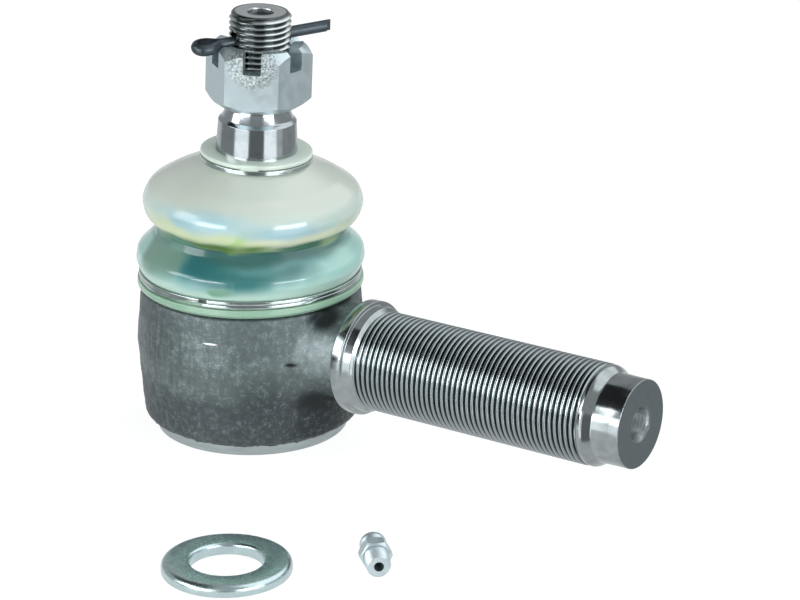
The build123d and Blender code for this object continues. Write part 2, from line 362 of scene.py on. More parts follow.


# centre and half sizes in millimetres, edge (0 is softest), tone
# painted light and painted shade on the forged skin
FORGING_LIGHT_AND_SHADE = [
    ((31, -13, 3), (8, 9, 8), 0.5, "#8F999A"),      # painted light on the near side of the neck
    ((31, -9, -17), (15, 20, 13), 0.3, "#363D3F"),  # painted shadow under the neck
    # painted shadow low down beside the neck
    ((20, -21, -12), (16, 12, 14), 0.1, "#4A5254"),
]
# painted shade round the neck and a painted glint
FORGING_SHADE_AND_GLINT = [
    ((29.5, -8, 11.5), (5, 8, 4), 0.4, "#242A2C"),          # painted shade on top of the neck, under the boot
    ((28, -12, -11), (6, 9, 5), 0.2, "#242A2C"),            # painted shadow under the neck
    # more painted shadow under the neck
    ((33, -9, -14), (8, 9, 7), 0.3, "#242A2C"),
    ((25.2, -17.0, 0.4), (2.3, 2.6, 0.8), 0.3, "#1C2122"),  # painted shade of a notch at the neck's root
    ((8.1, -28.6, 6.1), (2.5, 2.5, 0.3), 0.5, "#F2F6F6"),   # painted glint, a small bright dash
]


def blasted_forging():
    """Bare steel forging, shot blasted: a grey skin sparkling with tiny dents, darker towards the bottom, with
    painted shade round the neck's root and under the neck, painted light on the neck's near side, a painted glint,
    and a smooth upright-scratched belt where flash was ground off."""
    material, tree, shader = new_material("blasted_steel_forging", Metallic=0.7)
    place = add(tree, "TexCoord").outputs["Object"]
    grit = add(tree, "TexNoise", {"Vector": place, "Scale": per_mm(0.4), "Detail": 2.0})
    cloud = add(tree, "TexNoise", {"Vector": place, "Scale": per_mm(6.0), "Detail": 4.0})
    flakes = add(tree, "TexNoise", {"Vector": place, "Scale": per_mm(1.6), "Detail": 5.0,
                                    "Roughness": 0.65})
    upright = add(tree, "Mapping", {"Vector": place, "Scale": (1.0, 1.0, 0.06)})
    scratch = add(tree, "TexNoise", {"Vector": upright.outputs[0], "Scale": per_mm(1.1), "Detail": 4.0})
    height = add(tree, "SeparateXYZ", {"Vector": place}).outputs["Z"]
    wander = add(tree, "Math", {0: cloud.outputs["Fac"], 1: 7 * MM, 2: height}, operation="MULTIPLY_ADD")
    level = add(tree, "MapRange", {"Value": wander.outputs[0], "From Min": BASE_Z, "From Max": 20 * MM})
    skin = add(tree, "ValToRGB", {"Fac": level.outputs[0]}, stops=[
        (0.0, "#505859"), (0.38, "#555D5F"), (0.46, "#6B7575"), (0.66, "#6E7878"), (0.72, "#687273"),
        (0.9, "#6B7576"), (1.0, "#5E6768")])
    tone = skin.outputs[0]
    for centre, size, soft, code in FORGING_LIGHT_AND_SHADE:
        tone = mixed(tree, steel_patch(tree, place, centre, size, soft), tone, code)
    belt = steel_patch(tree, place, (-6, -26, 0), (26, 30, 9), 0.8)
    streak = add(tree, "MapRange", {"Value": scratch.outputs["Fac"], "From Min": 0.35, "From Max": 0.68})
    streaked = mixed(tree, streak.outputs[0], "#616B6C", "#7D8786")
    share = add(tree, "Math", {0: belt, 1: 0.7}, operation="MULTIPLY")
    tone = mixed(tree, share.outputs[0], tone, streaked)
    scale = add(tree, "MapRange", {"Value": flakes.outputs["Fac"], "From Min": 0.35, "From Max": 0.65})
    dark = mixed(tree, scale.outputs[0], "#525A5C", "#A4ACAD")
    base = add(tree, "Mix", {0: 0.35, 6: tone, 7: dark}, data_type="RGBA", blend_type="OVERLAY")
    clusters = add(tree, "Math", {0: grit.outputs["Fac"], 1: scale.outputs[0]}, operation="MULTIPLY")
    spark = add(tree, "MapRange", {"Value": clusters.outputs[0], "From Min": 0.3, "From Max": 0.62,
                                   "To Max": 0.55})
    lit = add(tree, "Mix", {0: spark.outputs[0], 6: base.outputs[2], 7: colour("#646D6E")},
              data_type="RGBA", blend_type="ADD").outputs[2]
    for centre, size, soft, code in FORGING_SHADE_AND_GLINT:
        lit = mixed(tree, steel_patch(tree, place, centre, size, soft), lit, code)
    tree.links.new(lit, shader.inputs["Base Color"])
    rough = add(tree, "MapRange", {"Value": belt, "To Min": 0.5, "To Max": 0.4})
    tree.links.new(rough.outputs[0], shader.inputs["Roughness"])
    both = add(tree, "Math", {0: grit.outputs["Fac"], 1: flakes.outputs["Fac"]}, operation="ADD")
    set_bump(tree, shader, both.outputs[0], 0.09)
    return material


def rolled_lip():
    """The same steel, rolled smooth over the cover: lighter, with faint rings round it."""
    material, tree, shader = new_material("rolled_steel_lip", Metallic=0.9, Roughness=0.42)
    place = add(tree, "TexCoord").outputs["Object"]
    smear = add(tree, "Mapping", {"Vector": place, "Scale": (0.15, 0.15, 1.0)})
    rings = add(tree, "TexNoise", {"Vector": smear.outputs[0], "Scale": per_mm(0.9), "Detail": 4.0})
    tree.links.new(mixed(tree, rings.outputs["Fac"], "#8E999A", "#B4BDBE"), shader.inputs["Base Color"])
    set_bump(tree, shader, rings.outputs["Fac"], 0.03)
    return material


def turned_steel(name, light, dark, roughness, spacing, along="X"):
    """Turned steel: bright, with fine marks round the axis and a few dull oil stains."""
    material, tree, shader = new_material(name, Metallic=1.0)
    place = add(tree, "TexCoord").outputs["Object"]
    squash = (1.0, 0.04, 0.04) if along == "X" else (0.04, 0.04, 1.0)
    marks = add(tree, "TexNoise", {
        "Vector": add(tree, "Mapping", {"Vector": place, "Scale": squash}).outputs[0],
        "Scale": per_mm(spacing), "Detail": 3.0})
    stain = add(tree, "TexNoise", {"Vector": place, "Scale": per_mm(5.0), "Detail": 5.0, "Roughness": 0.6})
    stained = add(tree, "MapRange", {"Value": stain.outputs["Fac"], "From Min": 0.45, "From Max": 0.7})
    tree.links.new(mixed(tree, stained.outputs[0], light, dark), shader.inputs["Base Color"])
    rough = add(tree, "MapRange", {"Value": stain.outputs["Fac"], "From Min": 0.3, "From Max": 0.7,
                                   "To Min": roughness * 0.8, "To Max": roughness * 1.5})
    tree.links.new(rough.outputs[0], shader.inputs["Roughness"])
    set_bump(tree, shader, marks.outputs["Fac"], 0.012)
    return material


def cut_thread(name, light, dark, axis, root, crest):
    """Cut steel thread: bright crests over roots painted dark as the shade in the grooves."""
    material, tree, shader = new_material(name, Metallic=1.0, Roughness=0.2)
    place = add(tree, "TexCoord").outputs["Object"]
    across = add(tree, "VectorMath", {0: place, 1: axis}, operation="CROSS_PRODUCT")
    radius = add(tree, "VectorMath", {0: across.outputs[0]}, operation="LENGTH").outputs["Value"]
    stain = add(tree, "TexNoise", {"Vector": place, "Scale": per_mm(4.0), "Detail": 5.0, "Roughness": 0.6})
    uneven = add(tree, "Math", {0: stain.outputs["Fac"], 1: 0.3 * MM, 2: radius}, operation="MULTIPLY_ADD")
    # painted shade: the roots are darkened by radius, the crests left light
    crest_light = add(tree, "MapRange", {"Value": uneven.outputs[0], "From Min": (root + 0.15) * MM,
                                  "From Max": (crest + 0.15) * MM}, interpolation_type="SMOOTHSTEP")
    end_face = add(tree, "MapRange", {"Value": radius, "From Min": (root - 0.4) * MM,
                                      "From Max": (root - 0.8) * MM})
    unshaded = add(tree, "Math", {0: crest_light.outputs[0], 1: end_face.outputs[0]}, operation="MAXIMUM")
    tree.links.new(mixed(tree, unshaded.outputs[0], dark, light), shader.inputs["Base Color"])
    marks = add(tree, "TexNoise", {"Vector": place, "Scale": per_mm(0.5), "Detail": 3.0})
    set_bump(tree, shader, marks.outputs["Fac"], 0.012)
    return material


def zinc_plating(name="zinc_plated_steel", light="#D3E0E3", dark="#BBCACE", roughness=0.42, spangle=None):
    """Blue zinc plating: a pale cool satin that blurs what it reflects, faintly mottled.

    spangle is the centre of a patch where the zinc has grown glittering crystals."""
    material, tree, shader = new_material(name, Metallic=1.0)
    place = add(tree, "TexCoord").outputs["Object"]
    mottle = add(tree, "TexNoise", {"Vector": place, "Scale": per_mm(3.0), "Detail": 6.0,
                                    "Roughness": 0.65})
    grain = add(tree, "TexNoise", {"Vector": place, "Scale": per_mm(0.35), "Detail": 2.0})
    tone = mixed(tree, mottle.outputs["Fac"], dark, light)
    if spangle:
        crystals = add(tree, "TexVoronoi", {"Vector": place, "Scale": per_mm(0.4)})
        facet = add(tree, "SeparateColor", {"Color": crystals.outputs["Color"]}).outputs[0]
        patch = steel_patch(tree, place, spangle, (7.6, 7.6, 7.6), 0.7)
        share = add(tree, "Math", {0: patch, 1: 0.75}, operation="MULTIPLY")
        tone = mixed(tree, share.outputs[0], tone, mixed(tree, facet, "#5E7174", "#F4FCFC"))
    tree.links.new(tone, shader.inputs["Base Color"])
    rough = add(tree, "MapRange", {"Value": mottle.outputs["Fac"], "From Min": 0.3, "From Max": 0.7,
                                   "To Min": roughness * 0.85, "To Max": roughness * 1.25})
    tree.links.new(rough.outputs[0], shader.inputs["Roughness"])
    set_bump(tree, shader, grain.outputs["Fac"], 0.01)
    return material


def dark_wire():
    """Phosphated spring wire: charcoal, oily and half dull."""
    material, tree, shader = new_material("phosphated_wire", Metallic=0.9)
    place = add(tree, "TexCoord").outputs["Object"]
    wear = add(tree, "TexNoise", {"Vector": place, "Scale": per_mm(1.2), "Detail": 5.0})
    tree.links.new(mixed(tree, wear.outputs["Fac"], "#343C40", "#586268"), shader.inputs["Base Color"])
    rough = add(tree, "MapRange", {"Value": wear.outputs["Fac"], "To Min": 0.25, "To Max": 0.55})
    tree.links.new(rough.outputs[0], shader.inputs["Roughness"])
    set_bump(tree, shader, wear.outputs["Fac"], 0.03)
    return material


def boot_spot(tree, heading, height, centre, half):
    """A soft spot on the boot's wall, 1 in its middle and 0 outside.

    centre and half are (degrees round the boot from its front, millimetres above the ball).
    """
    turn = add(tree, "Math", {0: heading, 1: math.radians(centre[0])}, operation="SUBTRACT")
    across = add(tree, "Math", {0: turn.outputs[0], 1: math.radians(half[0])}, operation="DIVIDE")
    rise = add(tree, "Math", {0: height, 1: centre[1] * MM}, operation="SUBTRACT")
    up = add(tree, "Math", {0: rise.outputs[0], 1: half[1] * MM}, operation="DIVIDE")
    both = add(tree, "CombineXYZ", {"X": across.outputs[0], "Y": up.outputs[0]})
    reach = add(tree, "VectorMath", {0: both.outputs[0]}, operation="LENGTH")
    spot = add(tree, "MapRange", {"Value": reach.outputs["Value"], "From Min": 1.3, "From Max": 0.3},
               interpolation_type="SMOOTHSTEP")
    return spot.outputs[0]


# where grease shows through, and painted shade in the waist's fold: (degrees from the front, height), their half
# sizes, and its tone
FRONT = math.radians(-55.9)
GREASE_AND_SHADE_SPOTS = [
    ((-22, 25.6), (44, 5.4), "#5F999B"),
    ((-24, 26.4), (34, 5.0), "#2F686C"),
    ((4, 25.0), (27, 4.8), "#35706F"),
    ((24, 27.4), (36, 2.2), "#568B8A"),
    # painted shade along the fold at the waist
    ((0, 28.5), (84, 2.1), "#32625E"),
    ((-58, 25.0), (16, 5.0), "#6E9082"),
    ((-6, 20.8), (8, 1.4), "#6C9A80"),
    ((-34, 33.6), (38, 3.4), "#C0CDA4"),
    ((-3, 33.4), (9, 3.4), "#A9C782"),
    ((28, 33.6), (30, 3.0), "#D0D5B8"),
    ((-16, 31.2), (28, 1.7), "#5B7C28"),
    ((40, 30.9), (26, 1.9), "#47765C"),
    ((-46, 31.0), (18, 1.9), "#64917A"),
    ((20, 36.6), (30, 2.2), "#9DBDC4"),
    ((-28, 38.0), (26, 3.2), "#9DBDC2"),
]


def boot_urethane():
    """Milky polyurethane: a glossy skin that light sinks into, with green and yellow grease
    behind it, and painted shade that darkens the fold between the two bellows."""
    material, tree, shader = new_material(
        "milky_polyurethane", **{"Roughness": 0.2, "IOR": 1.5, "Subsurface Weight": 0.3,
                                 "Subsurface Radius": (3 * MM, 3 * MM, 3 * MM), "Subsurface Scale": 1.0,
                                 "Coat Weight": 0.5, "Coat Roughness": 0.06})
    place = add(tree, "Attribute", attribute_name="rest").outputs["Vector"]
    cloud = add(tree, "TexNoise", {"Vector": place, "Scale": per_mm(11.0), "Detail": 1.0})
    parts = add(tree, "SeparateXYZ", {"Vector": place})
    round_z = add(tree, "Math", {0: parts.outputs["Y"], 1: parts.outputs["X"]}, operation="ARCTAN2")
    from_front = add(tree, "Math", {0: round_z.outputs[0], 1: FRONT}, operation="SUBTRACT")
    wrapped = add(tree, "Math", {0: from_front.outputs[0], 1: math.pi, 2: -math.pi}, operation="WRAP")
    drift = add(tree, "MapRange", {"Value": cloud.outputs["Fac"], "From Min": 0.3, "From Max": 0.7,
                                   "To Min": -1.0, "To Max": 1.0})
    heading = add(tree, "Math", {0: drift.outputs[0], 1: 0.2, 2: wrapped.outputs[0]},
                  operation="MULTIPLY_ADD").outputs[0]
    height = add(tree, "Math", {0: drift.outputs[0], 1: 0.8 * MM, 2: parts.outputs["Z"]},
                 operation="MULTIPLY_ADD").outputs[0]
    level = add(tree, "MapRange", {"Value": height, "From Min": 15.5 * MM, "From Max": 50.5 * MM})
    # the dark stop at the waist is grease and painted shade in the fold
    milk = add(tree, "ValToRGB", {"Fac": level.outputs[0]}, stops=[
        (0.0, "#8DAF98"), (0.1, "#AECBBE"), (0.2, "#9DC6BF"), (0.33, "#92BDB6"), (0.39, "#4F8078"),
        (0.43, "#A5B98A"), (0.50, "#C8D2AC"), (0.58, "#BBCAB8"), (0.66, "#B8C9C2"), (0.75, "#C3CCC1"),
        (0.95, "#C5CDC3"), (1.0, "#CDDDD0")])
    shade = milk.outputs[0]
    for centre, half, code in GREASE_AND_SHADE_SPOTS:
        shade = mixed(tree, boot_spot(tree, heading, height, centre, half), shade, code)
    tree.links.new(shade, shader.inputs["Base Color"])
    ripple = add(tree, "TexNoise", {"Vector": place, "Scale": per_mm(6.0), "Detail": 2.0})
    set_bump(tree, shader, ripple.outputs["Fac"], 0.05)
    return material


def seat_plastic():
    """White acetal: smooth moulded plastic, slightly waxy."""
    material, tree, shader = new_material("white_acetal", Roughness=0.4, IOR=1.48)
    place = add(tree, "TexCoord").outputs["Object"]
    cloud = add(tree, "TexNoise", {"Vector": place, "Scale": per_mm(4.0), "Detail": 3.0})
    tree.links.new(mixed(tree, cloud.outputs["Fac"], "#D5D1C2", "#E6E3D8"), shader.inputs["Base Color"])
    return material


FORGED = blasted_forging()
LIP_STEEL = rolled_lip()
SHANK_STEEL = turned_steel("turned_shank_steel", "#A5ACAD", "#90989A", 0.13, 0.35)
END_STEEL = turned_steel("faced_end_steel", "#7C8688", "#6F797B", 0.4, 0.5)
STUD_STEEL = turned_steel("ground_stud_steel", "#ABB2B4", "#99A1A4", 0.11, 0.3, "Z")
THREAD_STEEL = cut_thread("stud_thread_steel", "#CDD3D3", "#585F60", STUD_AXIS, 7.15, 7.95)
SHANK_THREAD_STEEL = cut_thread("shank_thread_steel", "#9AA3A5", "#3C4345", Vector((1, 0, 0)), 12.2, 12.95)
HOLE_STEEL = turned_steel("drilled_steel", "#CDD4D5", "#A3ABAD", 0.3, 0.5)
PUNCHED_STEEL = turned_steel("rough_centre_steel", "#6A7274", "#2C3133", 0.45, 1.0, "Z")
ZINC = zinc_plating()
NUT_ZINC = zinc_plating("spangled_zinc_plate", spangle=LEANED @ Vector((5.5, -10.6, 76.6)))
RING_ZINC = zinc_plating("bright_zinc_wire", "#D3DDDC", "#A7B6B1", 0.14)
WASHER_ZINC = zinc_plating("zinc_plated_washer", "#CFE0E2", "#AFC4C6", 0.25)
WIRE = dark_wire()
URETHANE = boot_urethane()
ACETAL = seat_plastic()
SPRING_STEEL = turned_steel("oiled_spring_steel", "#5A5E60", "#3C4042", 0.35, 0.6, "Z")


# --- Housing ---------------------------------------------------------------------
def forged_body():
    """The forged skin and neck, rounded where they meet, with the socket turned out inside."""
    skin = lathe([
        (20.0, -24.4), (25.2, -24.4), (25.3, -23.1, 0.3), (28.5, -21.8, 1.5), (30.2, -1.0, 9.0),
        (28.9, 13.0, 0.8), (26.4, 13.0), (26.4, 18.6, 0.5), (19.4, 18.6), (15.5, SOCKET_ROOF),
        (SOCKET_BORE_R, SOCKET_ROOF), (SOCKET_BORE_R, -19.4), (23.6, -19.4), (23.6, -23.4), (20.0, -23.4),
    ], around=160)
    neck = lathe([
        (0.0, NECK_ROOT), (18.0, NECK_ROOT), (16.8, 25.8, 0.4), (14.0, 27.6, 2.0), (NECK_R, 31.0, 4.0),
        (NECK_R, NECK_END), (0.0, NECK_END),
    ], around=96, axis="X")
    pocket = lathe([(0.0, -30.0), (SOCKET_BORE_R, -30.0), (SOCKET_BORE_R, SOCKET_ROOF), (0.0, SOCKET_ROOF)],
                   around=160)
    top = lathe([(0.0, NECK_TOP), (60.0, NECK_TOP), (60.0, 30.0), (0.0, 30.0)], around=32)
    neck = combine(neck, pocket, top)
    joined = combine(skin, neck, how="UNION")
    joined = evaluated(
        joined,
        ("REMESH", {"mode": "VOXEL", "voxel_size": 0.5 * MM, "use_smooth_shade": True}),
        ("SMOOTH", {"factor": 0.5, "iterations": 4}),
    )
    return roughened(joined)


def roughened(mesh):
    """Moves each point of the skin in or out: swells, scale, and scratches where it was trimmed."""
    raised = []
    for vertex in mesh.vertices:
        place = vertex.co / MM
        heading = math.atan2(place.y, place.x)
        low = min(max((-4 - place.z) / 6, 0), 1)
        swell = 0.12 * noise.noise(place * 0.22)
        scale = (0.05 + 0.09 * low) * noise.fractal(place * 0.75, 0.8, 2.0, 3)
        trim_band = max(0.0, 1 - ((place.z + 2.0) / 6.5) ** 2)
        trim = 0.09 * trim_band * noise.noise(Vector((heading * 33, 0, place.z * 0.08)))
        inside = place.xy.length < SOCKET_BORE_R + 1.5 and abs(place.z) < 23
        raised.append(vertex.co + vertex.normal * (0 if inside else swell + scale + trim) * MM)
    mesh.vertices.foreach_set("co", [c for point in raised for c in point])
    mesh.update()
    return mesh


def rolled_edge():
    """The lip that is rolled in over the cover."""
    return lathe([
        (20.8, -26.0, 0.8), (25.4, -26.0, 0.7), (25.45, -23.0), (24.4, -22.8), (22.0, -22.8),
        (20.8, -23.0, 0.3),
    ], around=192)


def collar():
    """Two turned steps between the forged neck and the thread."""
    end = CENTRE_HOLE_R / MM
    return lathe([
        (end, 35.6), (14.4, 35.6), (15.0, 36.1, 0.3), (15.0, 38.8, 0.25), (14.1, 39.1, 0.2),
        (13.7, 41.2, 0.3), (12.2, 42.2, 0.2), (12.2, 44.5), (end, 44.5),
    ], around=160, axis="X")


def pilot():
    """The smooth end of the shank."""
    end = SHANK_END / MM
    return lathe([
        (6.0, 100.0), (12.0, 100.0), (12.1, 107.5), (12.75, 107.7, 0.15), (12.9, 108.6, 0.6),
        (12.6, 109.4, 1.5), (11.4, 111.0, 1.2), (PILOT_R, 115.5), (PILOT_R, end, PILOT_EDGE), (6.0, end),
    ], around=160, axis="X")


def end_face():
    """The faced end of the shank, round its drilled hole."""
    end = SHANK_END / MM + 0.01
    hole = CENTRE_HOLE_R / MM
    rim = PILOT_R - PILOT_EDGE
    return lathe([(hole, end - 0.4), (hole + 0.25, end - 0.01, 0.1), (rim, end), (rim, end - 0.4)],
                 around=128, axis="X")


def centre_hole():
    """The drilled hole, ringed by the drill."""
    end = SHANK_END / MM - 0.3
    hole = CENTRE_HOLE_R / MM
    bottom = end - CENTRE_HOLE_DEPTH / MM
    feed = 0.9  # from one ring to the next
    corners = [(0.0, bottom - 3.0), (7.0, bottom - 3.0), (7.0, end)]
    for turn in range(12):
        corners += [(hole, end - turn * feed), (hole - 0.25, end - 0.7 - turn * feed)]
    return lathe(corners + [(hole - 0.22, bottom), (0.0, bottom - 2.0)], around=128, axis="X")


finish_piece("housing_forging", forged_body(), "socket", FORGED, ["housing"], sharp=60)
finish_piece("housing_rolled_lip", rolled_edge(), "socket", LIP_STEEL, ["housing"])
finish_piece("shank_collar", collar(), "socket", SHANK_STEEL, ["housing"])
shank_bar = thread(SHANK_R / MM, PITCH, SHANK_THREAD_LOW, SHANK_THREAD_HIGH,
                   ends=[(12.3, SHANK_THREAD_HIGH), (8.0, SHANK_THREAD_HIGH)], shape=FLAT_THREAD,
                   depth=0.85, around=128, axis="X")
finish_piece("shank_thread", shank_bar, "socket", SHANK_THREAD_STEEL, ["housing"])
finish_piece("shank_pilot", pilot(), "socket", SHANK_STEEL, ["housing"])
finish_piece("shank_end_face", end_face(), "socket", END_STEEL, ["housing"], sharp=20)
finish_piece("shank_centre_hole", centre_hole(), "socket", HOLE_STEEL, ["housing"],
             sharp=10)


# --- Ball stud -------------------------------------------------------------------
PIN_AXIS = -(UPRIGHT.to_3x3() @ Vector(JOINTS["pin_pull"]["axis"]))  # from the eye to the tips
PIN_TURN = Vector((PIN_AXIS.x, PIN_AXIS.y, 0)).to_track_quat("Z", "Y").to_matrix().to_4x4()


def stud_shaft():
    """Ball, shaft, 1:8 taper and the hollow neck under the thread."""
    ball = 17.5
    flat = -15.0  # the ball's bottom
    shaft = 8.5
    top = TAPER_TOP / MM
    top_r = 10.15
    foot = 43.0  # of the taper
    low_r = top_r + (top - foot) / 16
    start = math.asin(flat / ball)
    stop = math.acos(shaft / ball)
    arc = [start + (stop - start) * step / 24 for step in range(25)]
    return lathe([(0.0, flat)] + [(ball * math.cos(a), ball * math.sin(a)) for a in arc] + [
        (shaft, 38.0, 2.0), (low_r, 41.8, 1.0), (low_r, foot), (top_r, top, 0.2),
        (9.2, top + 0.9, 1.0), (8.2, top + 3.4, 3.0), (7.9, 63.6), (7.0, 64.2), (0.0, 64.2),
    ])


def stud_thread():
    """The threaded end with its pin hole and its centre recess."""
    top = STUD_TOP / MM
    bar = thread(STUD_THREAD_R, PITCH, STUD_THREAD_LOW, top, ends=[
        (7.1, top - 0.05), (6.8, top), (3.9, top), (3.5, top - 0.2), (3.1, top - 1.2), (2.6, top - 1.5),
        (0.0, top - 1.6)], shape=SHARP_THREAD, depth=0.9)
    hole = 2.35
    mouth = 3.6
    drill = lathe([(0.0, -12.0), (mouth, -12.0), (mouth, -8.5), (hole, -7.3), (hole, 7.3), (mouth, 8.5),
                   (mouth, 12.0), (0.0, 12.0)], around=48)
    return combine(bar, moved(drill, Matrix.Translation((0, 0, PIN_Z * MM)) @ PIN_TURN))


def stud_recess():
    """The rough bottom of the recess in the stud's end."""
    top = STUD_TOP / MM
    return lathe([(0.0, top - 2.0), (3.5, top - 2.0), (3.5, top - 0.4), (3.2, top - 0.5),
                  (3.0, top - 1.1, 0.3), (2.0, top - 1.35), (0.0, top - 1.4)], around=64)


finish_piece("ball_stud_recess", moved(stud_recess(), LEANED), "stud", PUNCHED_STEEL,
             ["ball_stud"])
finish_piece("ball_stud_taper", moved(stud_shaft(), LEANED), "stud", STUD_STEEL,
             ["ball_stud"])
finish_piece("ball_stud_thread", moved(stud_thread(), LEANED), "stud", THREAD_STEEL,
             ["ball_stud"])


# --- Castle nut and split pin ----------------------------------------------------
def castle_nut():
    """A slotted hexagon nut: chamfered at both ends, one slot in the middle of each face."""
    corner = NUT_FLATS / math.sqrt(3)
    low, high = NUT_LOW / MM, NUT_HIGH / MM
    bore_r = STUD_THREAD_R + 0.02
    mouth = 8.9
    turn = Matrix.Rotation(math.radians(NUT_FACE_DEG + 30), 4, "Z")
    hexagon = moved(lathe([(0.0, low), (corner, low), (corner, high), (0.0, high)], around=6), turn)
    envelope = lathe([(0.0, low), (NUT_FOOT_R, low), (corner, low + NUT_CROWN),
                      (corner, high - NUT_CROWN), (NUT_TOP_R, high), (0.0, high)], around=192)
    bore = lathe([(0.0, low - 1), (mouth, low - 1), (mouth, low), (bore_r, low + 0.9), (bore_r, high - 0.7),
                  (8.7, high), (8.7, high + 1), (0.0, high + 1)], around=96)
    body = combine(combine(hexagon, envelope, how="INTERSECT"), bore)
    for face in range(3):
        slot = slot_cutter(SLOT_WIDTH, SLOT_FLOOR, high + 2, NUT_FLATS)
        body = combine(body, moved(slot, Matrix.Rotation(math.radians(NUT_FACE_DEG + 60 * face), 4, "Z")))
    edges = {"width": 0.25 * MM, "segments": 1, "limit_method": "ANGLE", "angle_limit": math.radians(25)}
    return evaluated(body, ("BEVEL", edges))


def slot_cutter(width, floor, top, reach):
    """A bar with nearly square lower edges that mills two opposite slots at once."""
    half = width / 2
    section = rounded([(-half, top), (-half, floor, 0.35), (half, floor, 0.35), (half, top)])
    out, up = Vector((0, 1, 0)), Vector((0, 0, 1))
    return swept([(Vector((x * MM, 0, 0)), out, up) for x in (-reach, reach)], section)


def split_pin():
    """Half-round wire: two legs flat against each other and an open eye at one end."""
    radius = 1.5
    gap = 0.02  # half the gap between the legs
    half = 1.7  # half the eye's width
    knee = -11.2  # where the legs part
    eye = knee - 3.0
    eye_end = -17.9 + radius / 2
    tip = 19.7
    short_tip = tip - 1.5
    line = [Vector(p) for p in rounded([
        (tip, gap), (knee, gap, 3.5), (eye, half, 3.0), (eye_end, half, 1.6),
        (eye_end, -half, 1.6), (eye, -half, 3.0), (knee, -gap, 3.5), (short_tip, -gap)])]
    section = []
    for i in range(13):
        angle = math.pi * i / 12
        section.append((radius * math.sin(angle) * MM, radius * math.cos(angle) * MM))
    path = []
    for i, point in enumerate(line):
        ahead = (line[min(i + 1, len(line) - 1)] - line[max(i - 1, 0)]).normalized()
        out = Vector((ahead.y, -ahead.x, 0))
        path.append((Vector((*point, 0)), out, Vector((0, 0, 1))))
    wire = swept(path, section)
    heading = Matrix.Rotation(math.radians(PIN_HEADING_DEG), 4, "Z")
    rise = Matrix.Rotation(math.radians(-PIN_RISE_DEG), 4, "Y")
    roll = Matrix.Rotation(math.radians(PIN_ROLL_DEG), 4, "X")
    return moved(wire, Matrix.Translation((0, 0, PIN_Z * MM)) @ heading @ rise @ roll)


finish_piece("castle_nut_body", moved(castle_nut(), LEANED), "stud", NUT_ZINC, ["castle_nut"],
             sharp=15)
finish_piece("split_pin_wire", moved(split_pin(), LEANED), "split_pin", WIRE, ["cotter_pin"])


# --- Boot and its rings ----------------------------------------------------------
def lean_share(height):
    """How much of the stud's lean the boot has taken up at a height, from 0 to 1."""
    return min(max((height / MM - LEAN_LOW) / (LEAN_HIGH - LEAN_LOW), 0), 1)


def boot_shape(place):
    """Shifts and tilts the boot towards the stud's lean, and raises the mould's seam a little."""
    share = lean_share(place.z)
    out = Vector((place.x, place.y, 0)).normalized()
    for side in (SEAM, SEAM + math.pi):
        near = (out - Vector((math.cos(side), math.sin(side), 0))).length * place.xy.length / MM
        place = place + out * SEAM_RISE * MM * math.exp(-(near / SEAM_HALF_WIDTH) ** 2)
    level = Matrix.Translation((0, 0, place.z)) @ Matrix.Rotation(LEAN * share, 4, "Y")
    shift = Matrix.Translation((place.z * math.sin(LEAN * share), 0, 0))
    return shift @ level @ Vector((place.x, place.y, 0))


def lower_bellows():
    """The foot, clamped round the housing's boss, and the lower fold up to the waist."""
    return lathe([
        (26.6, 13.3), (28.9, 13.3, 0.3), (29.8, 14.2, 0.5), (29.7, 15.65, 0.2), (28.45, 15.7),
        (28.45, 18.0), (29.0, 18.2, 0.3), (30.0, 20.9, 2.2), (29.7, 23.6, 2.5), (25.3, 27.8, 2.5),
        (24.3, WAIST_Z), (22.4, WAIST_Z), (23.2, 28.0, 0.8), (26.0, 25.0, 1.5), (27.7, 22.6, 1.5),
        (27.9, 20.6, 1.5), (26.6, 18.9, 0.5),
    ], around=256, shape=boot_shape)


def upper_bellows():
    """The large fold and the lip that is clamped on the stud's taper."""
    return lathe([
        (22.4, WAIST_Z), (24.3, WAIST_Z), (25.4, 31.0, 2.5), (28.1, 33.3, 4.0), (28.9, 36.9, 3.5),
        (27.6, 40.4, 5.0), (22.3, 43.6, 14.0), (14.8, 46.9, 0.6), (13.7, 47.6), (13.7, 49.2),
        (14.65, 49.3, 0.15), (14.6, 50.3, 0.4), (10.3, 50.45, 0.4), (10.5, 45.8, 0.5),
        (13.5, 45.0, 2.0), (20.8, 42.0, 8.0), (25.4, 39.0, 3.0), (26.9, 36.4, 2.5), (26.3, 34.2, 2.5),
        (23.9, 31.3, 1.5),
    ], around=256, shape=boot_shape)


def boot_lug():
    """A small moulded mark that laps over the lip at its front."""
    section = rounded([(12.2, 50.0), (12.4, 50.6, 0.1), (14.7, 50.5, 0.3), (14.8, 49.1), (13.4, 49.1)])
    span = math.radians(9)
    path = []
    for step in range(13):
        angle = SEAM + span * (step / 6 - 1)
        out = Vector((math.cos(angle), math.sin(angle), 0))
        path.append((Vector((0, 0, 0)), out, Vector((0, 0, 1))))
    return swept(path, section)


def wound_band(inner, outer, low, high, turns, lap_at):
    """Flat wire wound turns times round, each turn lying on the one below."""
    around = 128
    steps = around * turns
    rise = (high - low) / turns
    height = rise * 0.96  # so that a fine line shows between two turns
    thick = outer - inner
    section = rounded([(0, 0, 0.12), (thick, 0, 0.2), (thick, height, 0.2), (0, height, 0.12)])
    path = []
    for step in range(steps + 1):
        angle = lap_at + math.tau * step / around
        climb = min(max((step % around) / around * 12 - 11, 0), 1) if step < steps - around else 0
        floor = low + rise * (min(step // around, turns - 1) + climb)
        out = Vector((math.cos(angle), math.sin(angle), 0))
        path.append((out * inner * MM + Vector((0, 0, floor * MM)), out, Vector((0, 0, 1))))
    return swept(path, section)


def keep_rest_place(mesh):
    """Stores where each point lies on the straight boot, so that its tone bends with the skin."""
    rest = mesh.attributes.new("rest", "FLOAT_VECTOR", "POINT")
    for vertex, stored in zip(mesh.vertices, rest.data):
        stored.vector = Matrix.Rotation(-LEAN * lean_share(vertex.co.z), 4, "Y") @ vertex.co
    return mesh


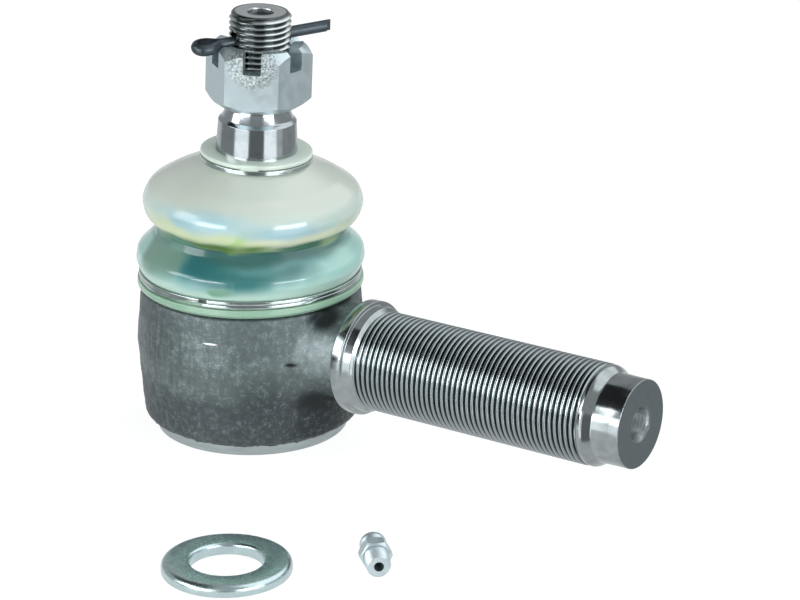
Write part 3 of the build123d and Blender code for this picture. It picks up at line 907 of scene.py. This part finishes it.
finish_piece("boot_lower_bellows", keep_rest_place(lower_bellows()), "", URETHANE,
             ["dust_boot"],
             blend=("socket", "boot_middle", (0, 0, 19.5 * MM), (0, 0, 29.0 * MM)))
finish_piece("boot_upper_bellows", keep_rest_place(upper_bellows()), "", URETHANE,
             ["dust_boot"],
             blend=("boot_middle", "boot_lip", (0, 0, 30.0 * MM), (0, 0, 46.5 * MM)))
finish_piece("boot_lip_mark", keep_rest_place(moved(boot_lug(), LEANED)), "boot_lip", URETHANE)
bottom_wire = wound_band(inner=BAND_R / MM - 0.8, outer=BAND_R / MM, low=BAND_LOW / MM,
                         high=BAND_HIGH / MM, turns=2, lap_at=math.radians(-78))
top_wire = wound_band(inner=13.75, outer=14.7, low=47.75, high=49.1, turns=1, lap_at=math.radians(100))
finish_piece("boot_bottom_wire", bottom_wire, "socket", RING_ZINC, ["boot_bottom_ring"])
finish_piece("boot_top_wire", moved(top_wire, LEANED), "boot_lip", RING_ZINC,
             ["boot_top_ring"])


# --- Cover, washer and grease nipple ---------------------------------------------
def cover_plate():
    """The pressed cover with its tapped hole for the grease nipple."""
    port = PORT_R / MM
    edge = 23.4
    return lathe([
        (port, -23.3), (port + 0.6, -23.4, 0.2), (18.5, -23.3), (edge, -23.3), (edge, -19.5), (port, -19.5),
    ], around=96)


def flat_washer():
    """The loose washer, punched, so that its upper edges are well rounded."""
    x, y, _ = WASHER_HOLE["pos_m"]
    inner = WASHER_HOLE["dims"]["r_mm"]
    outer = (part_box("flat_washer")[1].x - x) / MM
    low = BASE_Z / MM
    high = low + WASHER_HOLE["dims"]["length_mm"]
    ring = lathe([(inner, low, 0.2), (outer, low, 0.6), (outer, high, 1.5), (inner, high, 0.9)], around=160)
    return moved(ring, Matrix.Translation((x, y, 0)))


def nipple_body():
    """Head, neck, hexagon and threaded end of a grease nipple, open right through."""
    lip = 0.7  # the mouth, which holds the check ball in
    outside = [(-7.7, 1.9, 0.25), (-7.2, 2.4), (-5.4, 3.25, 0.3), (-4.5, 3.25, 0.25), (-3.3, 2.45, 0.5),
               (2.2, 2.45), (2.2, 2.7)]
    inside = [(2.2, NIPPLE_BORE_R), (-5.9, NIPPLE_BORE_R), (-6.5, lip), (-7.2, lip), (-7.7, 1.0, 0.1)]
    head = lathe([(r, x, *rest) for x, r, *rest in outside + inside], around=64, axis="X")
    corner = NIPPLE_FLATS / math.sqrt(3)
    prism = lathe([(0.0, -1.9), (corner, -1.9), (corner, 2.1), (0.0, 2.1)], around=6, axis="X")
    crown = lathe([(0.0, -1.9), (3.3, -1.9), (corner, -1.2), (corner, 1.4), (3.3, 2.1), (0.0, 2.1)],
                  around=96, axis="X")
    bore = lathe([(0.0, -4.0), (NIPPLE_BORE_R, -4.0), (NIPPLE_BORE_R, 4.0), (0.0, 4.0)],
                 around=48, axis="X")
    hexagon = combine(combine(prism, crown, how="INTERSECT"), bore)
    hexagon = evaluated(hexagon, ("BEVEL", {"width": 0.12 * MM, "segments": 1, "limit_method": "ANGLE"}))
    tip = 7.6
    screw = thread(radius=3.0, pitch=1.0, low=2.1, high=tip, ends=[(2.45, tip), (0.0, tip)],
                   shape=SHARP_THREAD, depth=0.5, around=48, axis="X")
    passage = lathe([(0.0, 1.0), (1.2, 1.0), (1.2, 9.0), (0.0, 9.0)], around=48, axis="X")
    return head, hexagon, combine(screw, passage)


def lying(mesh):
    """Lays a nipple piece, built along X, on one flat beside the joint."""
    low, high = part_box("nipple_ball")
    head = (low + high) / 2
    axis = Vector(JOINTS["nipple_check"]["axis"])
    centre = head + axis * NIPPLE_HEAD_REACH * MM
    centre.z = BASE_Z + NIPPLE_FLATS / 2 * MM
    heading = math.atan2(axis.y, axis.x)
    return moved(mesh, Matrix.Translation(centre) @ Matrix.Rotation(heading, 4, "Z"))


finish_piece("cover_disc", cover_plate(), "socket", ZINC, ["cover_plate"])
finish_piece("washer_ring", flat_washer(), "washer", WASHER_ZINC, ["flat_washer"])
for part, mesh in zip(("head", "hexagon", "thread"), nipple_body()):
    finish_piece("nipple_" + part, lying(mesh), "nipple", ZINC, ["nipple_body"])

CARRIED_OVER = {
    "upper_seat": ACETAL, "lower_seat": ACETAL, "preload_spring": SPRING_STEEL,
    "nipple_ball": STUD_STEEL, "nipple_spring": SPRING_STEEL,
}
for node, material in CARRIED_OVER.items():
    slots = frame["nodes"][node].data.materials
    slots.clear()
    slots.append(material)


# --- Room ------------------------------------------------------------------------
def soft_step(tree, value, centre, half, soft):
    """1 where value is within half of centre, fading to 0 over soft."""
    away = add(tree, "Math", {0: value, 1: centre}, operation="SUBTRACT")
    size = add(tree, "Math", {0: away.outputs[0]}, operation="ABSOLUTE")
    made = add(tree, "MapRange", {"Value": size.outputs[0], "From Min": half + soft, "From Max": half},
               interpolation_type="SMOOTHSTEP")
    return made.outputs[0]


def light_room():
    """A white product table under soft boxes: each has an azimuth, elevation, half sizes and level."""
    world = bpy.data.worlds.new("studio")
    bpy.context.scene.world = world
    world.use_nodes = True
    tree = world.node_tree
    tree.nodes.clear()
    way = add(tree, "TexCoord").outputs["Generated"]
    parts = add(tree, "SeparateXYZ", {"Vector": way})
    around = add(tree, "Math", {0: parts.outputs["Y"], 1: parts.outputs["X"]}, operation="ARCTAN2")
    up = add(tree, "Math", {0: parts.outputs["Z"]}, operation="ARCSINE")
    base = add(tree, "MapRange", {"Value": up.outputs[0], "From Min": -0.1, "From Max": 0.1,
                                  "To Min": 0.76, "To Max": 0.45})
    total = base.outputs[0]
    for azimuth, half_width, elevation, half_height, soft, level in BOXES:
        turned = add(tree, "Math", {0: around.outputs[0], 1: math.radians(azimuth)}, operation="SUBTRACT")
        wrapped = add(tree, "Math", {0: turned.outputs[0], 1: math.pi, 2: -math.pi}, operation="WRAP")
        across = soft_step(tree, wrapped.outputs[0], 0.0, math.radians(half_width), math.radians(soft))
        over = soft_step(tree, up.outputs[0], math.radians(elevation), math.radians(half_height),
                         math.radians(soft))
        mask = add(tree, "Math", {0: across, 1: over}, operation="MULTIPLY")
        step = add(tree, "Mix", {0: mask.outputs[0], 2: total, 3: level}, data_type="FLOAT")
        total = step.outputs[0]
    shader = add(tree, "Background", {"Color": colour("#FAFDFF"), "Strength": total})
    add(tree, "OutputWorld", {"Surface": shader.outputs[0]})


# azimuth, half width, elevation, half height, softness of the edge (degrees), brightness
VIEW_AZIMUTH = -55.94
BOXES = [
    (VIEW_AZIMUTH + 100, 50, 50, 25, 10, 1.5),     # large soft box high on the right
    (VIEW_AZIMUTH, 21, -15, 26, 3, 0.22),          # the dark gap round the lens
    (VIEW_AZIMUTH - 43, 20, -14, 20, 3, 1.9),      # low box on the left
    (VIEW_AZIMUTH + 41, 17, -14, 20, 3, 1.9),      # low box on the right
    (VIEW_AZIMUTH - 42, 16, 14, 5, 2, 10.0),       # bare tube on top of each low box
    (VIEW_AZIMUTH + 42, 16, 14, 5, 2, 10.0),
    (VIEW_AZIMUTH - 92, 27, -15, 14, 3, 0.38),     # shade low on the left
    (VIEW_AZIMUTH - 75, 13, 6, 5, 1.5, 0.05),      # gap between the table and the left box
    (VIEW_AZIMUTH - 75, 13, 25, 13, 2, 4.2),       # high box on the left
    (VIEW_AZIMUTH - 100, 60, 56, 16, 3, 0.03),     # dark ceiling
    (VIEW_AZIMUTH + 112, 30, -20, 20, 6, 0.45),    # shade on the shank's end
]


def table_piece(name, corners, glow, hidden_from):
    """A flat white piece of the table that glows a little, hidden from some kinds of ray."""
    made = holder(build(corners, [tuple(range(len(corners)))]), name)
    material = new_material("white_" + name, **{
        "Roughness": 0.9, "Base Color": colour("#6F7071"), "Emission Color": colour("#FFFFFF"),
        "Emission Strength": glow})[0]
    made.data.materials.append(material)
    for ray in hidden_from:
        setattr(made, "visible_" + ray, False)


def make_floor():
    """The white table top, which only the lens sees. Its glow keeps the shadows on it faint."""
    size = 3.0
    corners = [Vector((x * size, y * size, BASE_Z - 0.02 * MM)) for x, y in
               ((-1, -1), (1, -1), (1, 1), (-1, 1))]
    table_piece("table_top", corners, 0.9, ("diffuse", "glossy", "shadow", "transmission"))


def make_reflector():
    """The near part of the table as the polished parts see it: a pale disc that only they mirror."""
    around = 64
    centre = Vector((25 * MM, -40 * MM, BASE_Z - 0.03 * MM))
    spoke = Vector((85 * MM, 0, 0))
    rim = [centre + Matrix.Rotation(math.tau * i / around, 3, "Z") @ spoke for i in range(around)]
    table_piece("table_glow", rim, 0.72, ("camera", "diffuse", "shadow", "transmission"))


def place_camera():
    """A long lens, a little above and to the shank's side."""
    azimuth, elevation, roll = (math.radians(angle) for angle in (34.058, 19.947, 0.15))
    back = Vector((math.sin(azimuth) * math.cos(elevation), -math.cos(azimuth) * math.cos(elevation),
                   math.sin(elevation)))
    aim = (-back).to_track_quat("-Z", "Y")
    lens = bpy.data.cameras.new("camera")
    lens.lens = 135
    lens.sensor_width = 36
    camera = bpy.data.objects.new("camera", lens)
    bpy.context.scene.collection.objects.link(camera)
    camera.location = Vector((450.17, -595.68, 278.69)) * MM
    camera.rotation_mode = "QUATERNION"
    camera.rotation_quaternion = aim @ Matrix.Rotation(roll, 3, "Z").to_quaternion()
    bpy.context.scene.camera = camera


light_room()
make_floor()
make_reflector()
place_camera()
bpy.context.scene.view_settings.view_transform = "Standard"
